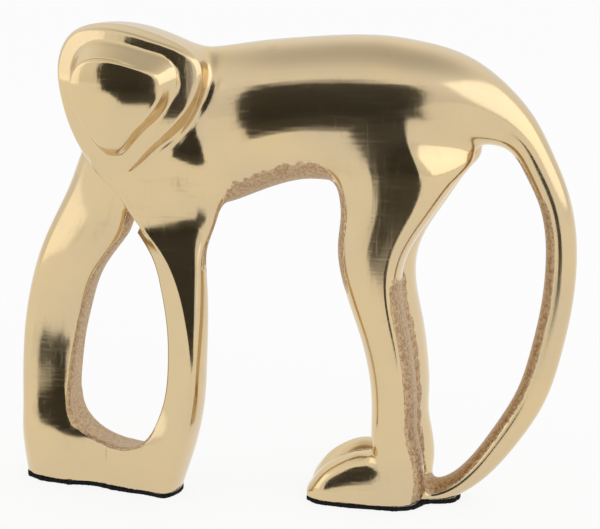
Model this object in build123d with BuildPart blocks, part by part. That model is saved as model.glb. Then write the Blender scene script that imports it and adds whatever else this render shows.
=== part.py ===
from build123d import *
import os
from math import cos, radians, sin

# A cast monkey standing on its hands and heels, with two felt pads under it.
# X runs along the body towards the tail, +Z is up, and the viewer's side is -Y.
# The origin is the middle of the rear pad's underside. Sizes are in millimetres.

# whole figure
figure_length = 250.0
back_height = 200.0

# body
body_depth = 66.0
body_width = 49.0

# tail
tail_depth = 12.4
tail_width = 15.4

# hind legs and feet
leg_depth = 22.0
leg_width = 26.0
leg_spacing = 21.0
leg_stagger = 3.2

# arm loop, which is turned against the body
loop_width = 95.0
arm_depth = 29.0
arm_thickness = 20.4
arm_turn = 16.0

# head and face, which are turned towards the viewer
face_width = 66.3
face_height = 67.3
face_relief = 19.0
skull_depth = 38.0
ring_curve = 75.0
dome_curve = 52.0
face_turn = 10.0

# felt pads and the adhesive films that hold them
felt_thickness = 1.7
film_thickness = 0.2
sole_height = felt_thickness + film_thickness

# how far a cutting shape runs past what it cuts
overrun = 12.0

# Where the arm loop and the face sit: shares of the length, the body's width and the height.
loop_place_shares = (-0.484, -0.102)
face_place_shares = (-0.420, -0.335, 0.875)

# Body and tail in one run from the neck over the rump and down to the heels.
# Each row: along the length, up the height, lean in degrees, half depth, half width.
body_shares = [
    (-0.412, 0.850, 92, 0.300, 0.265),
    (-0.356, 0.840, 92, 0.417, 0.339),
    (-0.304, 0.815, 91, 0.515, 0.408),
    (-0.220, 0.837, 90, 0.495, 0.494),
    (-0.120, 0.863, 88, 0.461, 0.498),
    (-0.044, 0.866, 82, 0.475, 0.498),
    (0.040, 0.876, 84, 0.417, 0.490),
    (0.132, 0.882, 74, 0.292, 0.400),
]
tail_shares = [
    (0.193, 0.854, 58, 1.065, 0.942),
    (0.236, 0.820, 43, 0.694, 0.747),
    (0.268, 0.758, 33, 0.573, 0.617),
    (0.296, 0.677, 15, 0.530, 0.552),
    (0.310, 0.545, 2, 0.535, 0.519),
    (0.304, 0.443, -4, 0.535, 0.506),
    (0.290, 0.349, -10, 0.535, 0.500),
    (0.267, 0.250, -21, 0.530, 0.500),
    (0.222, 0.149, -36, 0.490, 0.519),
    (0.175, 0.072, -48, 0.425, 0.545),
    (0.123, 0.023, -68, 0.350, 0.584),
    (0.020, 0.010, -90, 0.420, 0.617),
]

# Both hind legs, from inside the rump to the toes. Half depths and half widths are of one leg.
# Each row: along the length, up the height, lean in degrees, half depth, half width, then where
# the leg is widest and where its rear corner lies, both behind its middle in shares of its half depth.
leg_shares = [
    (0.048, 0.850, 0, 1.000, 0.455, 0.08, 0.35),
    (0.055, 0.780, 0, 1.440, 0.520, 0.03, 0.42),
    (0.042, 0.725, 4, 1.245, 0.519, 0.08, 0.62),
    (0.024, 0.657, 4, 0.950, 0.504, 0.18, 0.85),
    (-0.002, 0.570, 0, 0.700, 0.496, 0.36, 1.00),
    (0.001, 0.475, 0, 0.555, 0.519, 0.44, 1.00),
    (0.020, 0.385, 0, 0.490, 0.542, 0.44, 1.00),
    (0.034, 0.295, 0, 0.455, 0.527, 0.44, 1.00),
    (0.038, 0.225, 0, 0.450, 0.473, 0.42, 1.00),
    (0.039, 0.155, 0, 0.470, 0.412, 0.36, 1.00),
    (0.042, 0.080, -35, 0.640, 0.388, 0.30, 1.00),
    (0.013, 0.035, -62, 0.820, 0.377, 0.25, 1.00),
    (-0.034, 0.025, -82, 0.775, 0.354, 0.20, 1.00),
    (-0.074, 0.022, -90, 0.615, 0.323, 0.20, 1.00),
    (-0.102, 0.020, -90, 0.355, 0.246, 0.20, 1.00),
    (-0.118, 0.017, -90, 0.109, 0.115, 0.20, 1.00),
]
groove_share = 0.62
crest_share = 1.3

# Far arm. Each row: across the loop, up the height, lean in degrees, half depth, half thickness.
far_arm_shares = [
    (0.126, 0.790, -36, 0.517, 0.539),
    (0.047, 0.705, -34, 0.550, 0.529),
    (-0.016, 0.625, -33, 0.600, 0.515),
    (-0.158, 0.512, -25, 0.524, 0.505),
    (-0.236, 0.404, -15, 0.497, 0.500),
    (-0.277, 0.290, -7, 0.482, 0.500),
    (-0.295, 0.190, 0, 0.482, 0.510),
    (-0.285, 0.090, 3, 0.493, 0.520),
    (-0.250, -0.005, 6, 0.503, 0.529),
]

# Near arm and chest: a slanted flat that rises to a ridge, then a rounded side. Each row: up the
# height, the flat's inner edge (across, out), the ridge (across, out), the pull of the rounded
# side (across, out), and the back edge (across, out). Across is a share of the loop's width, out
# of its thickness.
near_arm_shares = [
    (-0.030, 0.042, 0.500, 0.284, 0.500, 0.358, 0.500, 0.295, -0.441),
    (0.040, 0.053, 0.500, 0.351, 0.500, 0.416, 0.500, 0.337, -0.441),
    (0.115, 0.063, 0.500, 0.420, 0.515, 0.468, 0.515, 0.392, -0.441),
    (0.160, 0.080, 0.230, 0.452, 0.505, 0.496, 0.505, 0.410, -0.441),
    (0.210, 0.105, -0.050, 0.478, 0.490, 0.517, 0.490, 0.425, -0.441),
    (0.310, 0.147, -0.108, 0.492, 0.471, 0.535, 0.471, 0.432, -0.441),
    (0.410, 0.147, -0.108, 0.462, 0.471, 0.538, 0.471, 0.437, -0.441),
    (0.500, 0.105, -0.108, 0.404, 0.451, 0.522, 0.451, 0.430, -0.441),
    (0.565, 0.084, -0.074, 0.316, 0.441, 0.512, 0.441, 0.430, -0.460),
    (0.625, 0.105, 0.172, 0.219, 0.400, 0.560, 0.435, 0.510, -0.490),
    (0.680, 0.032, 0.098, 0.121, 0.270, 0.545, 0.470, 0.550, -0.490),
    (0.735, -0.042, -0.049, 0.032, 0.098, 0.490, 0.490, 0.526, -0.417),
    (0.800, -0.053, -0.196, -0.011, -0.098, 0.421, 0.180, 0.463, -0.392),
    (0.860, -0.042, -0.294, 0.000, -0.245, 0.358, -0.110, 0.379, -0.392),
]

# Bridge between the hands. Each row: up the height, left end, right end, front and back.
bridge_shares = [
    (-0.005, -0.405, 0.240, 0.455, -0.390),
    (0.070, -0.432, 0.255, 0.455, -0.390),
    (0.185, -0.426, 0.270, 0.455, -0.390),
]
bridge_corner_share = 0.34

# Egg-shaped opening between the arms, round its edge: across the loop and up the height.
opening_shares = [
    (-0.160, 0.160), (-0.171, 0.215), (-0.156, 0.290), (-0.118, 0.385), (-0.040, 0.480), (0.050, 0.541),
    (0.145, 0.575), (0.235, 0.551), (0.305, 0.475), (0.347, 0.375), (0.346, 0.270), (0.313, 0.170),
    (0.265, 0.122), (0.178, 0.099), (0.042, 0.100), (-0.072, 0.117),
]
opening_middle_shares = (0.088, 0.330)
# how much wider and taller the opening is drawn at the back than at its middle, for the draft
draft_shares = (0.20, 0.08)

# Tiers of the face: left, right, bottom, top and chin of each outline, from the face's middle,
# in shares of the face's width and height, then how far out it lies, in shares of the relief.
rim_shares = (-0.500, 0.500, -0.500, 0.500, -0.161, 0.0)
ring_shares = (-0.443, 0.444, -0.418, 0.464, -0.146, 0.421)
step_shares = (-0.340, 0.342, -0.302, 0.378, -0.086, 0.500)
dome_shares = (-0.289, 0.287, -0.242, 0.317, -0.078, 0.790)
# how far the ring's rounded front stands above its edge, in shares of the relief
ring_crown_share = 0.16
# how far a tier's walls are drawn on, so that they end inside the tier behind or past its rounded front
root_share = 1.6
past_share = 2.0

# The rounded triangle that every tier follows, in shares of its own width and height.
brow_shares = [(0.38, 1.00), (0.74, 0.93), (0.98, 0.78), (0.94, 0.48), (0.68, 0.19)]
cheek_shares = [(0.13, 0.20), (0.015, 0.50), (0.00, 0.76), (0.09, 0.92), (0.38, 1.00)]

# The back of the skull: how far behind the rim, and how large against it.
skull_shares = [(1.00, 0.30), (0.89, 0.60), (0.68, 0.83), (0.42, 0.955), (0.16, 0.995), (0.0, 1.0)]


def across(along_share, up_share, lean):
    """Plane across a limb in the body's plane: its x runs through the limb's depth."""
    turn = radians(lean)
    return Plane(
        origin=(along_share * figure_length, 0, up_share * back_height),
        x_dir=(cos(turn), 0, sin(turn)),
        z_dir=(sin(turn), 0, -cos(turn)),
    )


def across_arm(across_share, up_share, lean):
    """Plane across a limb of the arm loop: its y runs out towards the viewer."""
    turn = radians(lean)
    yaw = radians(arm_turn)
    run = across_share * loop_width
    return Plane(
        origin=(
            loop_place_shares[0] * figure_length + run * cos(yaw),
            loop_place_shares[1] * body_width - run * sin(yaw),
            up_share * back_height,
        ),
        x_dir=(cos(turn) * cos(yaw), -cos(turn) * sin(yaw), sin(turn)),
        z_dir=(sin(turn) * cos(yaw), -sin(turn) * sin(yaw), -cos(turn)),
    )


def face_plane(out):
    """Plane in front of the rim, facing the viewer, with the face's middle as its origin."""
    yaw = radians(face_turn)
    return Plane(
        origin=(
            face_place_shares[0] * figure_length - out * sin(yaw),
            face_place_shares[1] * body_width - out * cos(yaw),
            face_place_shares[2] * back_height,
        ),
        x_dir=(cos(yaw), -sin(yaw), 0),
        z_dir=(-sin(yaw), -cos(yaw), 0),
    )


def oval(plane, half_depth, half_width):
    """An oval section drawn as two half curves."""
    shoulder = cos(radians(45))
    with BuildSketch(plane) as section:
        with BuildLine():
            Spline(
                (half_depth, 0),
                (half_depth * shoulder, half_width * shoulder),
                (0, half_width),
                (-half_depth * shoulder, half_width * shoulder),
                (-half_depth, 0),
                tangents=((0, 1), (0, -1)),
            )
            Spline(
                (-half_depth, 0),
                (-half_depth * shoulder, -half_width * shoulder),
                (0, -half_width),
                (half_depth * shoulder, -half_width * shoulder),
                (half_depth, 0),
                tangents=((0, -1), (0, 1)),
            )
        make_face()
    return section.sketch


def pair_of_legs(plane, half_depth, half_width, widest_share, rear_share):
    """Both legs side by side, with a groove between them in front and behind."""
    middle = leg_spacing / 2
    stagger = leg_stagger / 2 * plane.x_dir.X
    groove = (half_depth * groove_share, 0)
    back_groove = (-half_depth * groove_share, 0)

    def quarter(groove_point, end, corner_share, side):
        shift = -side * stagger
        crest = (end * half_depth * crest_share + shift, side * middle)
        corner = (corner_share * half_depth + shift, side * (middle + half_width))
        widest = (widest_share * half_depth + shift, side * (middle + half_width))
        return [groove_point, crest, corner, widest]

    with BuildSketch(plane) as section:
        with BuildLine():
            Bezier(*quarter(groove, 1, rear_share, 1))
            Bezier(*reversed(quarter(back_groove, -1, -1, 1)))
            Bezier(*quarter(back_groove, -1, -1, -1))
            Bezier(*reversed(quarter(groove, 1, rear_share, -1)))
        make_face()
    return section.sketch


def tier(shares, out):
    """A rounded-triangle outline of the face, drawn as two curves that meet at brow and chin."""
    left, right, bottom, top, chin, _ = shares
    width = (right - left) * face_width
    height = (top - bottom) * face_height
    left_edge = left * face_width
    low_edge = bottom * face_height
    chin_point = (chin * face_width, low_edge)
    brow = [(left_edge + u * width, low_edge + v * height) for u, v in brow_shares]
    cheek = [(left_edge + u * width, low_edge + v * height) for u, v in cheek_shares]
    with BuildSketch(face_plane(out)) as outline:
        with BuildLine():
            Spline(*brow, chin_point, tangents=((1, 0), (-1, -0.42)))
            Spline(chin_point, *cheek, tangents=((-1, 0.42), (1, 0)))
        make_face()
    return outline.sketch


def between(first_shares, second_shares, step):
    """A tier on the line through two others, past the second where step is over one."""
    return tuple(a + (b - a) * step for a, b in zip(first_shares, second_shares))


def shrunk(shares, scale):
    """A tier drawn in towards the face's middle."""
    return tuple(value * scale for value in shares)


def opening_outline(plane, side):
    """The egg-shaped opening, drawn in or let out by the casting draft."""
    wide = 1 + side * draft_shares[0]
    tall = 1 + side * draft_shares[1]

    middle_u, middle_v = opening_middle_shares
    points = [
        ((middle_u + (u - middle_u) * wide) * loop_width, (middle_v + (v - middle_v) * tall) * back_height)
        for u, v in opening_shares
    ]
    with BuildSketch(plane) as outline:
        with BuildLine():
            Spline(*points, periodic=True)
        make_face()
    return outline.sketch


with BuildPart() as body:
    trunk = [oval(across(s[0], s[1], s[2]), s[3] * body_depth, s[4] * body_width) for s in body_shares]
    tail = [oval(across(s[0], s[1], s[2]), s[3] * tail_depth, s[4] * tail_width) for s in tail_shares]
    loft(sections=trunk + tail)

with BuildPart() as legs:
    loft(sections=[
        pair_of_legs(across(s[0], s[1], s[2]), s[3] * leg_depth, s[4] * leg_width, s[5], s[6])
        for s in leg_shares
    ])

with BuildPart() as far_arm:
    loft(sections=[
        oval(across_arm(s[0], s[1], s[2]), s[3] * arm_depth, s[4] * arm_thickness)
        for s in far_arm_shares
    ])

with BuildPart() as near_arm:
    for up, flat_u, flat_v, ridge_u, ridge_v, pull_u, pull_v, back_u, back_v in near_arm_shares:
        flat = (flat_u * loop_width, flat_v * arm_thickness)
        ridge = (ridge_u * loop_width, ridge_v * arm_thickness)
        back = (back_u * loop_width, back_v * arm_thickness)
        front_pull = (pull_u * loop_width, pull_v * arm_thickness)
        back_pull = (pull_u * loop_width, back[1])
        inner = (flat[0], back[1])
        with BuildSketch(across_arm(0, up, 0)):
            with BuildLine():
                Line(flat, ridge)
                Bezier(ridge, front_pull, back_pull, back)
                Line(back, inner)
                Line(inner, flat)
            make_face()
    loft()

with BuildPart() as bridge:
    for up, left, right, front, back in bridge_shares:
        with BuildSketch(across_arm((left + right) / 2, up, 0)):
            with Locations((0, (front + back) / 2 * arm_thickness)):
                RectangleRounded(
                    (right - left) * loop_width,
                    (front - back) * arm_thickness,
                    bridge_corner_share * arm_thickness,
                )
    loft()

with BuildPart() as skull:
    loft(sections=[tier(shrunk(rim_shares, size), -depth * skull_depth) for depth, size in skull_shares])

with BuildPart() as ring:
    outlines = [rim_shares, ring_shares, between(rim_shares, ring_shares, past_share)]
    loft(sections=[tier(o, o[5] * face_relief) for o in outlines], ruled=True)
    with Locations(face_plane((ring_shares[5] + ring_crown_share) * face_relief - ring_curve)):
        Sphere(ring_curve, mode=Mode.INTERSECT)

with BuildPart() as dome:
    outlines = [
        between(dome_shares, step_shares, root_share),
        step_shares,
        dome_shares,
        between(step_shares, dome_shares, past_share),
    ]
    loft(sections=[tier(o, o[5] * face_relief) for o in outlines], ruled=True)
    with Locations(face_plane(face_relief - dome_curve)):
        Sphere(dome_curve, mode=Mode.INTERSECT)

with BuildPart() as opening:
    reach = arm_thickness / 2 + overrun
    section = across_arm(0, 0, 0)
    facing = Plane(origin=section.origin, x_dir=section.x_dir, z_dir=section.y_dir)
    loft(sections=[
        opening_outline(facing.offset(reach), -1),
        opening_outline(facing.offset(-reach), 1),
    ], ruled=True)

# The casting is one piece: its limbs run into one another and it stands flat on its soles.
with BuildPart() as casting:
    add(body)
    add(legs)
    add(far_arm)
    add(near_arm)
    add(bridge)
    add(skull)
    add(ring)
    add(dome)
    add(opening, mode=Mode.SUBTRACT)
    split(bisect_by=Plane.XY.offset(sole_height), keep=Keep.TOP)

soles = casting.faces().filter_by(Plane.XY).group_by(Axis.Z)[0].sort_by(Axis.X)

with BuildPart() as front_film:
    extrude(soles[0], amount=film_thickness, dir=(0, 0, -1))

with BuildPart() as rear_film:
    extrude(soles[-1], amount=film_thickness, dir=(0, 0, -1))

with BuildPart() as front_felt:
    extrude(front_film.faces().sort_by(Axis.Z)[0], amount=felt_thickness, dir=(0, 0, -1))

with BuildPart() as rear_felt:
    extrude(rear_film.faces().sort_by(Axis.Z)[0], amount=felt_thickness, dir=(0, 0, -1))

casting.part.label = "monkey_casting"
front_film.part.label = "front_adhesive_film"
rear_film.part.label = "rear_adhesive_film"
front_felt.part.label = "front_felt_pad"
rear_felt.part.label = "rear_felt_pad"

os.makedirs("parts", exist_ok=True)
export_step(casting.part, "parts/monkey_casting.step")
export_step(front_film.part, "parts/front_adhesive_film.step")
export_step(rear_film.part, "parts/rear_adhesive_film.step")
export_step(front_felt.part, "parts/front_felt_pad.step")
export_step(rear_felt.part, "parts/rear_felt_pad.step")
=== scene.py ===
from math import cos, pi, radians, sin

import bpy
import numpy as np
import openvdb as vdb
from mathutils import Matrix, Vector


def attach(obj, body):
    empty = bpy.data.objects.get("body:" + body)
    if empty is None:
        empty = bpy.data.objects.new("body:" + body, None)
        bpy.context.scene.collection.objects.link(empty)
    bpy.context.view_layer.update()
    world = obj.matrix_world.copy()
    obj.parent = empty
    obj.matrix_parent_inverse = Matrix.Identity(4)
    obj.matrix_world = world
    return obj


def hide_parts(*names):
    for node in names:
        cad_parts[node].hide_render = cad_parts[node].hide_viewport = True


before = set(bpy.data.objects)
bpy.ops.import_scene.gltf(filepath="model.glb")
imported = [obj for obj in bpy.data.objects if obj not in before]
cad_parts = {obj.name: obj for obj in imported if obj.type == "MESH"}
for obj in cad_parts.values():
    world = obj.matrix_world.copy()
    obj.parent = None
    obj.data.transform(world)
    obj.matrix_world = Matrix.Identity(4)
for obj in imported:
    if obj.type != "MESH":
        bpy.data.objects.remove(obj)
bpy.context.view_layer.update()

# ---------------------------------------------------------------- shape, in millimetres
VOXEL = 0.52
SOLE = 1.9                        # the casting's soles lie this high, on the films and the felt
FELT = 1.7                        # thickness of the felt
MM = 0.001                        # in metres
SHIFT = 35.0                      # the body's tables measure x from a point this far before the origin
PIT = (44.6, 9.0, 26.0)           # a small casting pit low on the near arm: u, out, z
PIT_DEPTH = 0.9
PIT_WIDTH = 0.8

# fillets, from the widest to the sharpest
HAND_BLEND = 10.0                 # the far arm runs into the bridge between the hands
LIMB_BLEND = 7.0                  # legs and arms run into the trunk
HEAD_BLEND = 5.0
ARM_BLEND = 2.5                   # narrow, so that the crease between the arms stays
LOOP_EDGE = 1.6                   # edges of the arm loop
TIER_EDGE = 0.8                   # edges of the ring and the dome, and the ring's foot
DOME_FOOT = 0.6

# x, z, lean, half depth, half width
TRUNK = [
    (-68, 170, 92, 19.8, 11.5), (-54, 168, 92, 27.5, 13.2), (-44, 164.0, 91.5, 32.8, 16.8),
    (-33, 164.0, 90.5, 34.0, 20.8), (-20, 167.4, 90, 32.7, 23.8), (5, 172.6, 88, 30.4, 24.4),
    (24, 173.2, 82, 31.3, 24.4), (45, 175.2, 84, 27.5, 24.0), (68, 176.4, 74, 19.3, 19.6),
    (83.3, 170.8, 58, 13.2, 14.5), (94, 164.0, 43, 8.6, 11.5), (102, 151.6, 33, 7.1, 9.5),
    (109.0, 135.4, 15, 6.6, 8.5), (112.5, 109, 2, 6.6, 8.0), (111.0, 88.6, -4, 6.6, 7.8),
    (107.5, 69.8, -10, 6.6, 7.7), (101.8, 50, -21, 6.5, 7.7), (90.5, 29.8, -36, 6.1, 8.0),
    (78.8, 14.4, -48, 5.3, 8.4), (65.8, 4.6, -68, 4.3, 9.0), (40, 2.0, -90, 5.2, 9.5),
]
# x, z, lean, half depth, half width of one leg, where it is widest, where its rear corner lies
LEGS = [
    (47, 170, 0, 20.0, 9.0, 0.05, 0.2), (48.8, 156, 0, 31.7, 13.4, 0.12, 0.34), (45.5, 145, 4, 27.4, 14.0, 0.3, 0.72),
    (41, 131.4, 4, 20.9, 14.0, 0.42, 0.9), (34.5, 114, 0, 15.4, 13.9, 0.55, 1), (35.2, 95, 0, 12.2, 14.0, 0.6, 1),
    (40, 77, 0, 10.8, 14.1, 0.55, 1), (43.5, 59, 0, 10.0, 14.1, 0.48, 1), (44.5, 45, 0, 9.9, 13.4, 0.42, 1),
    (44.8, 31, 0, 10.3, 11.6, 0.36, 1), (45.5, 16, -35, 14.1, 10.1, 0.30, 1), (38.2, 7.0, -62, 18.0, 9.8, 0.25, 1),
    (26.5, 5.0, -82, 17.0, 9.2, 0.2, 1), (16.5, 4.4, -90, 13.5, 8.4, 0.2, 1), (9.5, 4.0, -90, 7.8, 6.4, 0.2, 1),
    (5.4, 3.4, -90, 2.4, 3.0, 0.2, 1),
]
LEG_SIDE = 10.5                   # middle of each leg, from the body's plane
STAGGER = 1.6                     # one leg stands this far in front of the middle, the other behind
NEAR_WIDER = 0.8                  # the near leg's outer side stands out more than the far leg's

TRUNK_FULL = 2.15                 # above 2 the section is squarer than an ellipse
# plane of the arm loop: origin and direction
LOOP = np.array([-121.0, -5.0, 0.0])
LOOP_U = np.array([cos(radians(16)), -sin(radians(16)), 0.0])
LOOP_OUT = np.array([-sin(radians(16)), -cos(radians(16)), 0.0])
UP = np.array([0.0, 0.0, 1.0])
# u, z, lean, half depth, half thickness, out, turn of the section, fullness
FAR_ARM = [
    (8.5, 158, -36, 15.0, 11.0, -6, -4, 2.4), (0.4, 141, -34, 16.0, 10.8, -6.4, -8, 2.6),
    (-5.3, 125, -33, 17.0, 10.5, -5.6, -8, 2.6), (-17.6, 102.4, -25, 15.2, 10.3, -2.6, -5, 2.6),
    (-24.6, 80.8, -15, 14.4, 10.2, -1.6, 5, 2.8), (-26.6, 68, -10, 13.8, 10.0, 0.1, 10, 2.9),
    (-26.9, 58, -7, 13.5, 10.0, 1.7, 12, 3.0), (-26.4, 38, 0, 12.9, 10.0, 4.7, 13, 3.2),
    (-24.4, 20, 2, 12.7, 10.0, 7.0, 11, 3.0), (-22.6, 7, 4, 13.2, 10.4, 4.6, 6, 2.6),
    (-21.6, -3, 6, 13.4, 10.6, 1.0, 3, 2.4),
]
# z, flat edge (u, out), ridge (u, out), shoulder (u, out), pull of the side (u, out), back (u, out)
NEAR_ARM = [
    (-6, 4, 10.2, 27, 10.2, 28, 10.2, 34, 10.2, 28, -9), (8, 5, 10.2, 33.3, 10.2, 34.5, 10.2, 39.5, 10, 32, -9),
    (23, 6, 10.2, 39.9, 10.5, 41, 10.4, 44.5, 9.5, 37.2, -9), (32, 7.6, 4.7, 42.9, 10.3, 44, 10.1, 47.1, 9, 39, -9),
    (42, 10, -1.0, 45.4, 10.0, 46.2, 9.7, 49.1, 8, 40.4, -9), (62, 14, -2.2, 46.7, 9.2, 47.9, 8.6, 50.8, 6.4, 41, -9),
    (82, 14, -2.2, 43.6, 7.6, 47.2, 6.4, 51.4, 5, 41.5, -9),
    (100, 11, -2.6, 37.4, 5.8, 45.2, 3.5, 50.6, 2.6, 40.9, -9),
    (113, 12, -3, 28.8, 5.2, 42, 1.9, 51, 0.6, 40.9, -9.4), (120, 17, -1.5, 22.2, 5.6, 38, 1.7, 53, -1.8, 45, -9.8),
    (127, 13.4, 1.0, 17.4, 7.2, 36, 2.2, 54, -2.4, 50, -10), (136, 8, 2.0, 11.8, 8.9, 33, 4.0, 55, -1.1, 52.2, -10),
    (147, -1, 2, 3, 12.0, 30, 5.8, 54, 0.6, 54, -9), (162, -4, -3, 0, 12.5, 24, 8.0, 46, 4.2, 46, -8.5),
    (171, -5, -5, -1, 6, 22, 4, 42, -1, 42, -8.5), (181, -4, -6, 0, -4, 16, -3, 34, -6, 36, -8),
]
# bridge between the hands: z, left, right, front, back
BRIDGE = [
    (-3, -38.0, 23.0, 10.4, -8.2), (14, -40.2, 24.2, 10.6, -8.2), (25, -39, 25.0, 10.0, -7.6), (36, -33, 19.0, 6, -5),
]
# outline of the arm loop: u, z
OPENING = [
    (-15.2, 32.0), (-16.2, 43.0), (-14.8, 58.0), (-11.2, 77.0), (-3.8, 96.0), (4.8, 108.2),
    (13.8, 115.0), (22.3, 110.2), (29.0, 95.0), (33.0, 75.0), (32.9, 54.0), (29.7, 34.0),
    (25.2, 24.4), (16.9, 19.8), (4.0, 20.0), (-6.8, 23.4),
]
OPENING_MIDDLE = (8.4, 66.0)
OPENING_REACH = 22.2              # how far the cut reaches to each side of the loop's plane
FLARE_U, FLARE_Z = 0.20, 0.08     # how much narrower it is there in front, and wider behind
BRIDGE_CORNER = 6.9

# plane of the face: its middle and its direction
FACE = np.array([-105.0, -16.4, 175.0])
FACE_U = np.array([cos(radians(10)), -sin(radians(10)), 0.0])
FACE_OUT = np.array([-sin(radians(10)), -cos(radians(10)), 0.0])
# outline of every tier, from its top over the right side and the chin to the left side: shares of width and height
TRIANGLE = [(0.38, 1.00), (0.74, 0.93), (0.98, 0.78), (0.94, 0.48), (0.68, 0.19)]
CHEEK = [(0.13, 0.20), (0.015, 0.50), (0.00, 0.76), (0.09, 0.92)]
CHIN_SHARE = 0.02
# left, right, bottom, top, chin
RIM = np.array([-33.15, 33.15, -33.65, 33.5, -10.7])
RING = np.array([-29.4, 29.4, -28.1, 31.2, -9.7])
STEP = np.array([-22.5, 22.7, -20.3, 25.4, -5.7])
DOME = np.array([-19.2, 19.0, -16.3, 21.3, -5.2])
# distance behind the face, size as a share of the rim
SKULL = [(-38.0, 0.30), (-33.8, 0.60), (-25.8, 0.83), (-16.0, 0.955), (-6.0, 0.995), (0.0, 1.0)]
# outline, distance out of the face
RING_STOPS = [(RIM * 0.97, -6.0), (RIM, 0.0), (RING, 8.0), (RIM + (RING - RIM) * 2, 16.0)]
DOME_STOPS = [(DOME + (STEP - DOME) * 1.6, 6.0), (STEP, 9.0), (DOME, 15.5), (DOME + (DOME - STEP) * 0.3, 24.0)]
# ellipsoid that crowns a tier: its middle and its radii, along the face, out of it and up
RING_CROWN = ((-2.0, -64.0, 4.0), (75.0, 75.0, 75.0))
DOME_CROWN = ((-6.0, -16.1, 8.0), (46.5, 36.0, 38.4))


def natural_spline(t, values, at):
    """Cubic spline through rows of values at parameters t, evaluated at the parameters in at."""
    t = np.asarray(t, float)
    y = np.asarray(values, float)
    n = len(t)
    h = np.diff(t)
    system = np.eye(n)
    right = np.zeros_like(y)
    for i in range(1, n - 1):
        system[i, i - 1] = h[i - 1]
        system[i, i] = 2 * (h[i - 1] + h[i])
        system[i, i + 1] = h[i]
        right[i] = 6 * ((y[i + 1] - y[i]) / h[i] - (y[i] - y[i - 1]) / h[i - 1])
    bend = np.linalg.solve(system, right)
    k = np.clip(np.searchsorted(t, at, side="right") - 1, 0, n - 2)
    a = (t[k + 1] - at)[:, None]
    b = (at - t[k])[:, None]
    hk = h[k][:, None]
    curve = (bend[k] * a ** 3 + bend[k + 1] * b ** 3) / (6 * hk)
    return curve + (y[k] / hk - bend[k] * hk / 6) * a + (y[k + 1] / hk - bend[k + 1] * hk / 6) * b


def dense_rows(table, first, last, per_mm=1.2):
    """A table's rows, spaced about a millimetre apart along the line of its columns first to last."""
    rows = np.array(table, float)
    steps = np.linalg.norm(np.diff(rows[:, first:last], axis=0), axis=1)
    t = np.concatenate([[0], np.cumsum(np.maximum(steps, 2.0))])
    return natural_spline(t, rows, np.linspace(0, t[-1], int(t[-1] / per_mm) + 1))


def skin(rings):
    """Points and triangles of a closed tube through rings of points."""
    rings = np.asarray(rings)
    rows, cols = rings.shape[:2]
    points = rings.reshape(-1, 3)
    ends = np.array([rings[0].mean(0), rings[-1].mean(0)])
    index = np.arange(rows * cols).reshape(rows, cols)
    a = index[:-1]
    b = np.roll(index, -1, axis=1)[:-1]
    c = np.roll(index, -1, axis=1)[1:]
    d = index[1:]
    faces = [np.stack([a, b, c], -1).reshape(-1, 3), np.stack([a, c, d], -1).reshape(-1, 3)]
    first = index[0]
    last = index[-1]
    start, end = rows * cols, rows * cols + 1
    faces.append(np.stack([np.roll(first, -1), first, np.full(cols, start)], -1))
    faces.append(np.stack([last, np.roll(last, -1), np.full(cols, end)], -1))
    return np.vstack([points, ends]), np.vstack(faces)


def body_ring(x, z, lean, section):
    """Section points placed on a leaning plane across the body's plane. section: (depth, toward the viewer)."""
    t = radians(lean)
    depth = np.array([cos(t), 0, sin(t)])
    side = np.array([0, -1.0, 0])
    return np.array([x - SHIFT, 0, z]) + section[:, :1] * depth + section[:, 1:] * side


def loop_ring(u, z, lean, section):
    """Section points placed on a leaning plane across the arm loop."""
    t = radians(lean)
    depth = LOOP_U * cos(t) + UP * sin(t)
    return LOOP + LOOP_U * u + UP * z + section[:, :1] * depth + section[:, 1:] * LOOP_OUT


def oval_section(a, b, full, count=72):
    """An ellipse, squarer where full is above 2."""
    angle = np.linspace(0, 2 * pi, count, endpoint=False)
    c, s = np.cos(angle), np.sin(angle)
    return np.stack([a * np.sign(c) * abs(c) ** (2 / full), b * np.sign(s) * abs(s) ** (2 / full)], -1)


def turned(section, angle):
    """A section turned about its middle, its front towards the right."""
    c, s = cos(radians(angle)), sin(radians(angle))
    return section @ np.array([[c, -s], [s, c]])


def bezier(points, count):
    """Points on a cubic curve, without its last one."""
    p = [np.array(q, float) for q in points]
    t = np.linspace(0, 1, count, endpoint=False)[:, None]
    return (1 - t) ** 3 * p[0] + 3 * (1 - t) ** 2 * t * p[1] + 3 * (1 - t) * t ** 2 * p[2] + t ** 3 * p[3]


def leg_section(a, b, lean, widest, corner):
    """Both legs, with a groove between them in front and behind."""
    shift = STAGGER * cos(radians(lean))

    def quarter(end, corner, side):
        s = -side * shift
        out = side * (LEG_SIDE + b + NEAR_WIDER * (side > 0))
        crest = LEG_SIDE * min(1, 0.3 + abs(corner))
        return [(end * 0.62 * a, 0), (end * 1.3 * a + s, side * crest), (corner * a + s, out), (widest * a + s, out)]

    return np.vstack([
        bezier(quarter(1, corner, 1), 20), bezier(quarter(-1, -1, 1)[::-1], 20),
        bezier(quarter(-1, -1, -1), 20), bezier(quarter(1, corner, -1)[::-1], 20),
    ])


def near_section(fu, fo, ru, ro, su, so, pu, po, bu, bo):
    """The near arm: a flat from its inner edge to the ridge, a facet to the shoulder, then the rounded side."""
    line = np.linspace(0, 1, 14, endpoint=False)[:, None]
    corners = ((fu, fo), (ru, ro), (su, so), (bu, bo), (fu, bo))
    flat, ridge, shoulder, back, inner = (np.array(corner, float) for corner in corners)
    return np.vstack([
        flat + (ridge - flat) * line, ridge + (shoulder - ridge) * line,
        bezier([shoulder, (pu, po), (pu, bo), back], 40),
        back + (inner - back) * line, inner + (flat - inner) * line,
    ])


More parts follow.
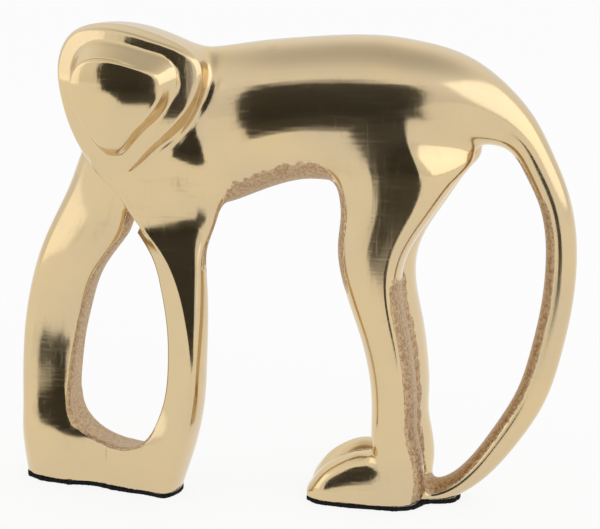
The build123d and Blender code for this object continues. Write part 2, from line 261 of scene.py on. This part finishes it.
def rounded_box(half_u, half_v, radius, count=10):
    """A rectangle with rounded corners."""
    corners = []
    for quarter, (su, sv) in enumerate(((1, 1), (-1, 1), (-1, -1), (1, -1))):
        angle = (quarter + np.linspace(0, 1, count)) * pi / 2
        along = su * (half_u - radius) + radius * np.cos(angle)
        across = sv * (half_v - radius) + radius * np.sin(angle)
        corners.append(np.stack([along, across], -1))
    return np.vstack(corners)


def closed_spline(points, count):
    """A smooth closed curve through the points."""
    p = np.array(points, float)
    n = len(p)
    wrapped = np.vstack([p[-4:], p, p[:5]])
    t = np.concatenate([[0], np.cumsum(np.linalg.norm(np.diff(wrapped, axis=0), axis=1))])
    return natural_spline(t, wrapped, np.linspace(t[4], t[4 + n], count, endpoint=False))


def tier_outline(tier, count=160):
    """A rounded triangle, its chin to the left of its middle."""
    left, right, bottom, top, chin = tier
    width, height = right - left, top - bottom

    def placed(shares):
        return [(left + u * width, bottom + v * height) for u, v in shares]

    return closed_spline(placed(TRIANGLE) + [(chin + CHIN_SHARE * width, bottom)] + placed(CHEEK), count)


def face_ring(tier, out):
    """The outline of a tier of the face, this far out of the face's plane."""
    section = tier_outline(np.asarray(tier, float))
    return FACE + section[:, :1] * FACE_U + section[:, 1:] * UP + FACE_OUT * out


def egg_shape(middle, radii, rows=90, cols=140):
    """A closed ellipsoid whose axes are the face's own: along it, out of it and up."""
    centre = FACE + middle[0] * FACE_U + middle[1] * FACE_OUT + middle[2] * UP
    rings = []
    angle = np.linspace(0, 2 * pi, cols, endpoint=False)[:, None]
    for k in range(1, rows):
        polar = pi * k / rows
        flat = radii[0] * np.cos(angle) * FACE_U + radii[1] * np.sin(angle) * FACE_OUT
        rings.append(centre + sin(polar) * flat - cos(polar) * radii[2] * UP)
    return skin(rings)


# the grid that all fields share
LOW = np.array([-175.0, -48.0, -8.0])
HIGH = np.array([96.0, 38.0, 222.0])
ORIGIN = np.floor(LOW / VOXEL).astype(int)
SHAPE = tuple((np.ceil(HIGH / VOXEL).astype(int) - ORIGIN + 1).tolist())
BAND = 11.0 / VOXEL               # how far a field reaches from its surface, in voxels


def field(shape):
    """Signed distance to a closed shape, on the common grid."""
    points, faces = shape
    grid = vdb.FloatGrid.createLevelSetFromPolygons(
        points=np.ascontiguousarray(points, dtype=np.float32),
        triangles=np.ascontiguousarray(faces, dtype=np.uint32),
        transform=vdb.createLinearTransform(VOXEL), halfWidth=BAND)
    values = np.zeros(SHAPE, dtype=np.float32)
    grid.copyToArray(values, ijk=tuple(ORIGIN.tolist()))
    return values


def join(first, second, blend):
    """Union of two fields with a fillet of about the blend's size."""
    near = np.maximum(blend - np.abs(first - second), 0)
    return np.minimum(first, second) - near * near / (4 * blend)


def meet(first, second, blend):
    """What two fields share, its new edge rounded."""
    return -join(-first, -second, blend)


def smooth(values, times):
    """Rounds off detail finer than a voxel or so."""
    for _ in range(times):
        for axis in range(3):
            padded = np.pad(values, [(1, 1) if k == axis else (0, 0) for k in range(3)], mode="edge")
            cut = [slice(None)] * 3
            parts = []
            for start in range(3):
                cut[axis] = slice(start, start + values.shape[axis])
                parts.append(padded[tuple(cut)])
            values = (parts[0] + 2 * parts[1] + parts[2]) / 4
    return values


trunk = field(skin([
    body_ring(x, z, lean, oval_section(a, b, TRUNK_FULL)) for x, z, lean, a, b in dense_rows(TRUNK, 0, 2)]))
legs = field(skin([
    body_ring(x, z, lean, leg_section(a, b, lean, w, c)) for x, z, lean, a, b, w, c in dense_rows(LEGS, 0, 2)]))
solid = join(trunk, legs, LIMB_BLEND)
del trunk, legs
far_arm = field(skin([
    loop_ring(u, z, lean, turned(oval_section(a, b, full), turn) + np.array([0, out]))
    for u, z, lean, a, b, out, turn, full in dense_rows(FAR_ARM, 0, 2)]))
bridge = field(skin([
    loop_ring((left + right) / 2, z, 0,
              rounded_box((right - left) / 2, (front - back) / 2, BRIDGE_CORNER) + np.array([0, (front + back) / 2]))
    for z, left, right, front, back in dense_rows(BRIDGE, 0, 1)]))
near_arm = field(skin([loop_ring(0, row[0], 0, near_section(*row[1:])) for row in dense_rows(NEAR_ARM, 0, 1)]))
arms = join(join(far_arm, bridge, HAND_BLEND), near_arm, ARM_BLEND)
del far_arm, bridge, near_arm
egg = closed_spline(OPENING, 240)


def egg_ring(out, side):
    """The arm loop's outline, narrower at its front mouth (side -1) than behind (side 1)."""
    middle_u, middle_z = OPENING_MIDDLE
    u = middle_u + (egg[:, :1] - middle_u) * (1 + FLARE_U * side)
    z = middle_z + (egg[:, 1:] - middle_z) * (1 + FLARE_Z * side)
    return LOOP + u * LOOP_U + z * UP + LOOP_OUT * out


opening = field(skin([egg_ring(OPENING_REACH * -side, side) for side in np.linspace(-1, 1, 40)]))
arms = meet(arms, -opening, LOOP_EDGE)
solid = join(solid, arms, LIMB_BLEND)
del arms
skull = field(skin([face_ring(RIM * size, out) for out, size in dense_rows(SKULL, 0, 1, 0.6)]))
solid = join(solid, skull, HEAD_BLEND)
del skull


def tiers(stops, steps=16):
    """A closed shape through outlines at stops, each with its distance out of the face."""
    rings = []
    for (first, out0), (second, out1) in zip(stops[:-1], stops[1:]):
        for k in np.linspace(0, 1, steps, endpoint=False):
            rings.append(face_ring(first + (second - first) * k, out0 + (out1 - out0) * k))
    rings.append(face_ring(*stops[-1]))
    return skin(rings)


ring = meet(field(tiers(RING_STOPS)), field(egg_shape(*RING_CROWN)), TIER_EDGE)
solid = join(smooth(solid, 1), ring, TIER_EDGE)
dome = meet(field(tiers(DOME_STOPS)), field(egg_shape(*DOME_CROWN)), TIER_EDGE)
solid = join(solid, dome, DOME_FOOT)
del ring, dome

# the soles are cut flat
levels = (np.arange(SHAPE[2]) + ORIGIN[2]) * VOXEL
solid = np.maximum(solid, (SOLE - levels)[None, None, :].astype(np.float32))


def sample(values, points):
    """Values of a field between grid points."""
    place = points / VOXEL - ORIGIN
    base = np.clip(np.floor(place).astype(int), 0, np.array(SHAPE) - 2)
    f = (place - base).astype(np.float32)
    i, j, k = base.T
    fx, fy, fz = f.T
    out = 0
    for dx in (0, 1):
        for dy in (0, 1):
            for dz in (0, 1):
                weight = (fx if dx else 1 - fx) * (fy if dy else 1 - fy) * (fz if dz else 1 - fz)
                out = out + values[i + dx, j + dy, k + dz] * weight
    return out


def slope(values, points, step):
    """Direction in which a field rises."""
    out = np.empty_like(points)
    for axis in range(3):
        shift = np.zeros(3)
        shift[axis] = step
        out[:, axis] = sample(values, points + shift) - sample(values, points - shift)
    return out / np.maximum(np.linalg.norm(out, axis=1, keepdims=True), 1e-9)


grid = vdb.FloatGrid(float(BAND * VOXEL))
grid.copyFromArray(np.ascontiguousarray(solid), ijk=tuple(ORIGIN.tolist()))
grid.transform = vdb.createLinearTransform(VOXEL)
points, quads = grid.convertToQuads()
points = points.astype(np.float64)
quads = quads.astype(np.int64)

# even out the mesh along the surface, then set it back on the surface
edges = np.vstack([quads[:, [0, 1]], quads[:, [1, 2]], quads[:, [2, 3]], quads[:, [3, 0]]])
count = np.bincount(edges[:, 0], minlength=len(points)) + np.bincount(edges[:, 1], minlength=len(points))
for _ in range(4):
    mean = np.zeros_like(points)
    for axis in range(3):
        for here, there in ((0, 1), (1, 0)):
            mean[:, axis] += np.bincount(edges[:, here], points[edges[:, there], axis], len(points))
    mean /= count[:, None]
    points = points + 0.5 * (mean - points)
    normal = slope(solid, points, VOXEL)
    points = points - normal * sample(solid, points)[:, None]
normal = slope(solid, points, VOXEL * 1.2)

sides = [points[quads[:, k]] - points[quads[:, 0]] for k in (1, 2)]
if np.einsum("ij,ij->i", np.cross(*sides), normal[quads[:, 0]]).sum() < 0:
    quads = quads[:, ::-1]
print("casting mesh", len(points), "points")


def add_mesh(name, points_mm, faces, normals=None, smooth_faces=True):
    """An object from points in millimetres and numpy faces."""
    mesh = bpy.data.meshes.new(name)
    mesh.from_pydata((points_mm * MM).tolist(), [], faces.tolist())
    mesh.validate()
    if smooth_faces:
        mesh.polygons.foreach_set("use_smooth", [True] * len(mesh.polygons))
    if normals is not None:
        mesh.normals_split_custom_set_from_vertices(normals.tolist())
    mesh.update()
    thing = bpy.data.objects.new(name, mesh)
    bpy.context.scene.collection.objects.link(thing)
    return thing


pit = LOOP + PIT[0] * LOOP_U + PIT[1] * LOOP_OUT + PIT[2] * UP
gap = np.linalg.norm(points - pit, axis=1)
points = points - normal * (PIT_DEPTH * np.exp(-(gap / PIT_WIDTH) ** 2))[:, None]


def ramp(values, start, end):
    """0 up to start, 1 from end on, smooth between them."""
    t = np.clip((values - start) / (end - start), 0, 1)
    return t * t * (3 - 2 * t)


# where the casting was left as cast: each patch is a product of ramps over one measure, from start to end
measures = dict(zip(("x", "y", "z", "nx", "ny", "nz"), (*points.T, *normal.T)))
measures["across"] = np.abs(measures["y"])
measures["sideways"] = np.abs(measures["ny"])
measures["under_tail"] = -measures["nx"] - 0.35 * measures["nz"]
measures["from_wall"] = np.abs(sample(opening, points))
measures["u"] = (points - LOOP) @ LOOP_U
AS_CAST = {
    "belly": (("nz", -0.35, -0.75), ("x", -82, -72), ("z", 112, 122), ("x", 14, 6)),
    "armpit": (("nx", 0.45, 0.8), ("z", 140, 132), ("z", 96, 112), ("x", -58, -66), ("ny", -0.75, -0.35)),
    "thigh": (("nx", -0.55, -0.85), ("z", 84, 112), ("x", -30, -22)),
    "heel": (("nx", 0.45, 0.8), ("y", 7, 1), ("z", 112, 96), ("x", 24, 18), ("x", -24, -16)),
    "tail": (("under_tail", 0.2, 0.6), ("x", 17, 24), ("z", 142, 132)),
    "tail_foot": (("nz", 0.3, 0.7), ("x", 17, 22), ("z", 30, 22)),
    "feet": (("sideways", 0.4, 0.8), ("across", 4.5, 2.5), ("z", 26, 20), ("x", -34, -28)),
    "loop_wall": (("from_wall", 2.0, 0.9), ("u", 12, 4)),
    "loop_foot": (("from_wall", 2.0, 0.9), ("z", 36, 28)),
    "soles": (("nz", -0.7, -0.95), ("z", 6, 3)),
}
cast = np.max([np.prod([ramp(measures[key], start, end) for key, start, end in patch], axis=0)
               for patch in AS_CAST.values()], axis=0)

monkey = add_mesh("monkey_skin", points, quads, normal)
monkey.data.attributes.new("as_cast", "FLOAT", "POINT").data.foreach_set("value", cast.astype(np.float32))
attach(monkey, "root")
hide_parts("monkey_casting")


FELT_STEP = 0.3
OUTLINE_ABOVE = 0.9               # the felt takes its outline from the casting this far above the soles
FELT_SIDES = (-44, 34)            # range of y
EDGE_WAVES = ((11.0, 0.16), (4.0, 0.10), (1.6, 0.08))      # length and height of the edge's wander
WAVE_TURNS = 5                    # directions in which each wave runs
WAVE_SUM = 2.2                    # what that many waves add up to, about
TUFTS = 6
TUFT_HEIGHT = 0.6
TUFT_WIDTH = 1.3
EDGE_RANGE = (-0.4, 0.8)          # how far the edge may lie inside and outside the sole


def felt_pad(name, node, x0, x1, seed):
    """A felt pad with the sole's outline, cut by hand: its edge wanders and frays a little."""
    dice = np.random.default_rng(seed)
    xs, ys = np.arange(x0, x1, FELT_STEP), np.arange(*FELT_SIDES, FELT_STEP)
    zs = np.arange(-FELT_STEP * 2, SOLE, FELT_STEP / 2)
    across = np.stack(np.meshgrid(xs, ys, indexing="ij"), -1).reshape(-1, 2)
    level = np.full(len(across), SOLE + OUTLINE_ABOVE)
    inside = sample(solid, np.column_stack([across, level])).reshape(len(xs), len(ys))
    edge = np.zeros_like(inside)
    for wave, height in EDGE_WAVES:
        for _ in range(WAVE_TURNS):
            turn, phase = dice.uniform(0, 2 * pi, 2)
            along = xs[:, None] * cos(turn) + ys[None, :] * sin(turn)
            edge += height / WAVE_SUM * np.sin(2 * pi / wave * along + phase)
    for _ in range(TUFTS):
        along = dice.uniform(x0, x1)
        edge += TUFT_HEIGHT * np.exp(-((xs[:, None] - along) / TUFT_WIDTH) ** 2) * (ys[None, :] < 0)
    sides = (inside - np.clip(edge, *EDGE_RANGE))[:, :, None] + np.zeros(len(zs))
    flat = np.abs(zs - FELT / 2) - FELT / 2
    cloth = vdb.FloatGrid(4.0)
    cloth.copyFromArray(np.ascontiguousarray(np.maximum(sides, flat[None, None, :]).astype(np.float32)))
    spots, cells = cloth.convertToQuads()
    spots = spots * np.array([FELT_STEP, FELT_STEP, FELT_STEP / 2]) + np.array([x0, FELT_SIDES[0], zs[0]])
    spots[:, 2] = np.clip(spots[:, 2], 0, FELT)
    pad = add_mesh(name, spots, cells[:, ::-1], smooth_faces=False)
    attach(pad, "root")
    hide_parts(node)
    return pad


front_felt = felt_pad("front_felt", "front_felt_pad", -168, -60, seed=11)
rear_felt = felt_pad("rear_felt", "rear_felt_pad", -50, 40, seed=12)


# ---------------------------------------------------------------- materials
POLISHED = ((0.72, 0.555, 0.315, 1), (0.67, 0.53, 0.33, 1))
PATINA = (0.60, 0.44, 0.24, 1)
ROUGH = ((0.40, 0.26, 0.145, 1), (0.66, 0.49, 0.30, 1))
FELT_BLACK = ((0.006, 0.006, 0.007, 1), (0.022, 0.022, 0.025, 1))
FILM = ((0.70, 0.68, 0.62, 1), (0.80, 0.79, 0.75, 1))
HAIR_ROUGHNESS = 0.10             # what a hairline adds to the polish's own roughness
POLISH_ROUGHNESS = (0.10, 0.16)
CAST_ROUGHNESS = (0.38, 0.60)
HAIR_DEPTH = 0.00002              # depths of bumps, in metres
CAST_DEPTH = 0.00035
FELT_DEPTH = 0.0004
FILM_DEPTH = 0.00005


def material(name):
    """A new material, its tree and its shader."""
    mat = bpy.data.materials.new(name)
    mat.use_nodes = True
    return mat, mat.node_tree, mat.node_tree.nodes["Principled BSDF"]


class Nodes:
    """Short calls for a material's nodes; positions are the object's own, in metres."""

    def __init__(self, tree):
        self.tree = tree
        self.place = None

    def link(self, source, target):
        self.tree.links.new(source, target)

    def noise(self, size, detail, stretch=(1, 1, 1), turn=(0, 0, 0)):
        """Noise whose features are about size millimetres wide."""
        if self.place is None:
            self.place = self.tree.nodes.new("ShaderNodeTexCoord").outputs["Object"]
        mapping = self.tree.nodes.new("ShaderNodeMapping")
        mapping.inputs["Scale"].default_value = stretch
        mapping.inputs["Rotation"].default_value = [radians(t) for t in turn]
        texture = self.tree.nodes.new("ShaderNodeTexNoise")
        texture.inputs["Scale"].default_value = 1 / (size * MM)
        texture.inputs["Detail"].default_value = detail
        self.link(self.place, mapping.inputs["Vector"])
        self.link(mapping.outputs[0], texture.inputs["Vector"])
        return texture.outputs["Fac"]

    def put(self, value, socket):
        """A link, or a plain value."""
        if isinstance(value, (int, float, tuple)):
            socket.default_value = value
        else:
            self.link(value, socket)

    def math(self, operation, *values):
        node = self.tree.nodes.new("ShaderNodeMath")
        node.operation = operation
        for value, socket in zip(values, node.inputs):
            self.put(value, socket)
        return node.outputs[0]

    def ramp(self, value, start, end, low, high):
        """From low up to start to high from end on, smooth between them."""
        node = self.tree.nodes.new("ShaderNodeMapRange")
        node.interpolation_type = "SMOOTHSTEP"
        for key, number in zip(("From Min", "From Max", "To Min", "To Max"), (start, end, low, high)):
            node.inputs[key].default_value = number
        self.link(value, node.inputs["Value"])
        return node.outputs["Result"]

    def blend(self, share, first, second):
        """Between two colours."""
        node = self.tree.nodes.new("ShaderNodeMix")
        node.data_type = "RGBA"
        self.link(share, node.inputs["Factor"])
        colours = [socket for socket in node.inputs if socket.type == "RGBA"]
        self.put(first, colours[0])
        self.put(second, colours[1])
        return [socket for socket in node.outputs if socket.type == "RGBA"][0]

    def mixed(self, share, first, second):
        """Between two numbers."""
        node = self.tree.nodes.new("ShaderNodeMix")
        self.link(share, node.inputs["Factor"])
        self.put(first, node.inputs["A"])
        self.put(second, node.inputs["B"])
        return node.outputs["Result"]

    def bump(self, height, distance, strength=1.0, normal=None):
        node = self.tree.nodes.new("ShaderNodeBump")
        node.inputs["Strength"].default_value = strength
        node.inputs["Distance"].default_value = distance
        self.link(height, node.inputs["Height"])
        if normal is not None:
            self.link(normal, node.inputs["Normal"])
        return node.outputs[0]


brass, tree, shader = material("polished_brass")
n = Nodes(tree)
as_cast = tree.nodes.new("ShaderNodeAttribute")
as_cast.attribute_name = "as_cast"
grain = n.noise(1.3, 5.0)
coarse = n.noise(3.4, 3.0)
lines_along = n.noise(1.1, 4.0, stretch=(0.05, 1.0, 1.0), turn=(0, 14, 0))
lines_across = n.noise(0.9, 4.0, stretch=(1.0, 1.0, 0.045), turn=(0, 6, 0))
cloud = n.ramp(n.noise(34.0, 2.0), 0.3, 0.7, 0.0, 1.0)
stain = n.ramp(n.noise(16.0, 4.0), 0.62, 0.8, 0.0, 0.35)
ragged = n.math("ADD", as_cast.outputs["Fac"], n.math("MULTIPLY_ADD", coarse, 0.9, -0.45))
rough_share = n.ramp(ragged, 0.38, 0.62, 0.0, 1.0)
polish = n.blend(stain, n.blend(cloud, *POLISHED), PATINA)
cast_skin = n.blend(n.ramp(grain, 0.35, 0.65, 0.0, 1.0), *ROUGH)
n.link(n.blend(rough_share, polish, cast_skin), shader.inputs["Base Color"])
shader.inputs["Metallic"].default_value = 1.0
hair = n.math("MAXIMUM", n.ramp(lines_along, 0.5, 0.8, 0.0, 1.0), n.ramp(lines_across, 0.5, 0.8, 0.0, 1.0))
gloss = n.math("MULTIPLY_ADD", hair, HAIR_ROUGHNESS, n.mixed(cloud, *POLISH_ROUGHNESS))
cast_gloss = n.ramp(grain, 0.3, 0.7, *CAST_ROUGHNESS)
n.link(n.mixed(rough_share, gloss, cast_gloss), shader.inputs["Roughness"])
fine = n.bump(n.math("ADD", lines_along, lines_across), HAIR_DEPTH, 0.35)
pitted = n.math("MULTIPLY", n.math("MULTIPLY_ADD", coarse, 0.7, grain), rough_share)
n.link(n.bump(pitted, CAST_DEPTH, 1.0, fine), shader.inputs["Normal"])
monkey.data.materials.append(brass)

felt, tree, shader = material("black_felt")
n = Nodes(tree)
fibre = n.noise(0.5, 6.0, stretch=(1.0, 0.35, 1.0), turn=(0, 0, 35))
tuft = n.noise(2.6, 4.0)
n.link(n.blend(n.ramp(fibre, 0.35, 0.7, 0.0, 1.0), *FELT_BLACK), shader.inputs["Base Color"])
n.link(n.ramp(tuft, 0.3, 0.7, 0.86, 0.99), shader.inputs["Roughness"])
n.link(n.bump(n.math("ADD", fibre, tuft), FELT_DEPTH), shader.inputs["Normal"])
shader.inputs["Specular IOR Level"].default_value = 0.15
for pad in (front_felt, rear_felt):
    pad.data.materials.append(felt)

film, tree, shader = material("adhesive_film")
n = Nodes(tree)
smear = n.noise(4.0, 4.0)
n.link(n.blend(smear, *FILM), shader.inputs["Base Color"])
n.link(n.ramp(smear, 0.3, 0.7, 0.35, 0.55), shader.inputs["Roughness"])
n.link(n.bump(n.noise(0.8, 3.0), FILM_DEPTH), shader.inputs["Normal"])
for node in ("front_adhesive_film", "rear_adhesive_film"):
    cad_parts[node].data.materials.clear()
    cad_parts[node].data.materials.append(film)

# ---------------------------------------------------------------- stage, light, camera
WHITE_SHARE = 0.86                # share of the floor that is seen as plain white; the rest keeps the shadow
FLOOR_COLOUR = (0.88, 0.88, 0.88, 1)
FLOOR_REACH = 6
SKY_LEVELS = [(0.0, 0.85), (0.6, 1.0), (0.8, 0.9), (1.0, 0.6)]      # height on the sky, radiance
CARD_BLACK = (0.05, 0.047, 0.04, 1)
CENTRE = Vector((-0.035, 0.0, 0.10))        # what the cards and lamps face
# the standing black card, as azimuths and elevations seen from the centre
CARD_SIDES = (-38, 14.5)
CARD_HEIGHTS = (-3.4, 35)
CARD_DISTANCE = 1.6
CORNER = 20.0                     # degrees that its upper corners are rounded by
CORNER_FULL = 2.4
LEFT_CUT = 6.0                    # degrees that its lower left corner is drawn in
# the lying black card: x, y
LOW_CARD = [
    (-1.25, -1.7), (0.36, -1.72), (0.12, -0.30), (-0.02, -0.30), (-0.03, -0.42), (-0.20, -0.42), (-0.42, -0.76)]
LOW_CARD_Z = 0.002
# name, azimuth, elevation, width, height, radiance
SOFTBOXES = [("right_softbox", 75, 27, 2.2, 1.3, 0.65), ("left_softbox", -72, 16, 1.0, 0.9, 0.45)]
LAMP_DISTANCE = 1.5
EYE = Vector((0.10903, -0.81684, 0.32560))
LOOK = Vector((-0.16773, 0.95125, -0.25882))
LENS = 118.6


def plane(name, corners):
    mesh = bpy.data.meshes.new(name)
    mesh.from_pydata(corners, [], [tuple(range(len(corners)))])
    mesh.update()
    thing = bpy.data.objects.new(name, mesh)
    bpy.context.scene.collection.objects.link(thing)
    return thing


floor = plane("floor", [(x * FLOOR_REACH, y * FLOOR_REACH, 0) for x, y in ((-1, -1), (1, -1), (1, 1), (-1, 1))])
floor_mat, tree, shader = material("floor")
shader.inputs["Base Color"].default_value = FLOOR_COLOUR
shader.inputs["Roughness"].default_value = 0.9
white = tree.nodes.new("ShaderNodeEmission")
white.inputs["Strength"].default_value = 1.0
seen = tree.nodes.new("ShaderNodeLightPath").outputs
n = Nodes(tree)
share = n.math("MAXIMUM", n.math("MAXIMUM", seen["Is Camera Ray"], seen["Is Glossy Ray"]), seen["Is Transmission Ray"])
blend = tree.nodes.new("ShaderNodeMixShader")
n.link(n.math("MULTIPLY", share, WHITE_SHARE), blend.inputs[0])
n.link(shader.outputs[0], blend.inputs[1])
n.link(white.outputs[0], blend.inputs[2])
n.link(blend.outputs[0], tree.nodes["Material Output"].inputs["Surface"])
floor.data.materials.append(floor_mat)

world = bpy.data.worlds.new("studio")
bpy.context.scene.world = world
world.use_nodes = True
sky = world.node_tree.nodes
sky["Background"].inputs["Color"].default_value = (1, 1, 1, 1)
place = sky.new("ShaderNodeTexCoord")
height = sky.new("ShaderNodeSeparateXYZ")
level = sky.new("ShaderNodeValToRGB")
for stop, radiance in SKY_LEVELS[1:-1]:
    level.color_ramp.elements.new(stop)
for element, (stop, radiance) in zip(level.color_ramp.elements, SKY_LEVELS):
    element.position = stop
    element.color = (radiance, radiance, radiance, 1)
links = world.node_tree.links
links.new(place.outputs["Generated"], height.inputs[0])
links.new(height.outputs["Z"], level.inputs[0])
links.new(level.outputs["Color"], sky["Background"].inputs["Strength"])

black, tree, shader = material("black_card")
shader.inputs["Base Color"].default_value = CARD_BLACK
shader.inputs["Roughness"].default_value = 0.8


def direction(azimuth, elevation):
    """Unit vector: azimuth from the front towards the right, elevation from the floor up."""
    a, e = radians(azimuth), radians(elevation)
    return Vector((sin(a) * cos(e), -cos(a) * cos(e), sin(e)))


def standing_card(name, mat, cols=12, rows=24):
    """A curved card between the directions of CARD_SIDES and CARD_HEIGHTS."""
    (az0, az1), (el0, el1) = CARD_SIDES, CARD_HEIGHTS
    points = []
    for j in range(rows + 1):
        up = 2 * j / rows - 1
        upper = CORNER * (1 - (1 - max(up, 0) ** CORNER_FULL) ** (1 / CORNER_FULL))
        left, right = az0 + upper + LEFT_CUT * max(-up, 0) ** 1.5, az1 - upper
        for i in range(cols + 1):
            d = direction(left + (right - left) * i / cols, el0 + (el1 - el0) * j / rows)
            points.append(CENTRE + d * CARD_DISTANCE)
    starts = [j * (cols + 1) + i for j in range(rows) for i in range(cols)]
    mesh = bpy.data.meshes.new(name)
    mesh.from_pydata(points, [], [(a, a + 1, a + cols + 2, a + cols + 1) for a in starts])
    mesh.materials.append(mat)
    mesh.update()
    thing = bpy.data.objects.new(name, mesh)
    bpy.context.scene.collection.objects.link(thing)
    thing.visible_camera = False


standing_card("black_card", black)
low_card = plane("low_card", [(x, y, LOW_CARD_Z) for x, y in LOW_CARD])
low_card.data.materials.append(black)
low_card.visible_camera = False


def softbox(name, azimuth, elevation, width, height, radiance):
    """A rectangle lamp that adds this radiance to what is seen in its place."""
    lamp = bpy.data.lights.new(name, "AREA")
    lamp.shape = "RECTANGLE"
    lamp.size = width
    lamp.size_y = height
    lamp.energy = radiance * pi * width * height
    thing = bpy.data.objects.new(name, lamp)
    d = direction(azimuth, elevation)
    facing = (-d).to_track_quat("-Z", "Y").to_matrix().to_4x4()
    thing.matrix_world = Matrix.Translation(CENTRE + d * LAMP_DISTANCE) @ facing
    bpy.context.scene.collection.objects.link(thing)
    thing.visible_camera = False


for lamp in SOFTBOXES:
    softbox(*lamp)

camera = bpy.data.cameras.new("camera")
camera.sensor_width = 36
camera.lens = LENS
viewer = bpy.data.objects.new("camera", camera)
viewer.matrix_world = Matrix.Translation(EYE) @ LOOK.to_track_quat("-Z", "Y").to_matrix().to_4x4()
bpy.context.scene.collection.objects.link(viewer)
bpy.context.scene.camera = viewer
bpy.context.scene.view_settings.view_transform = "Standard"
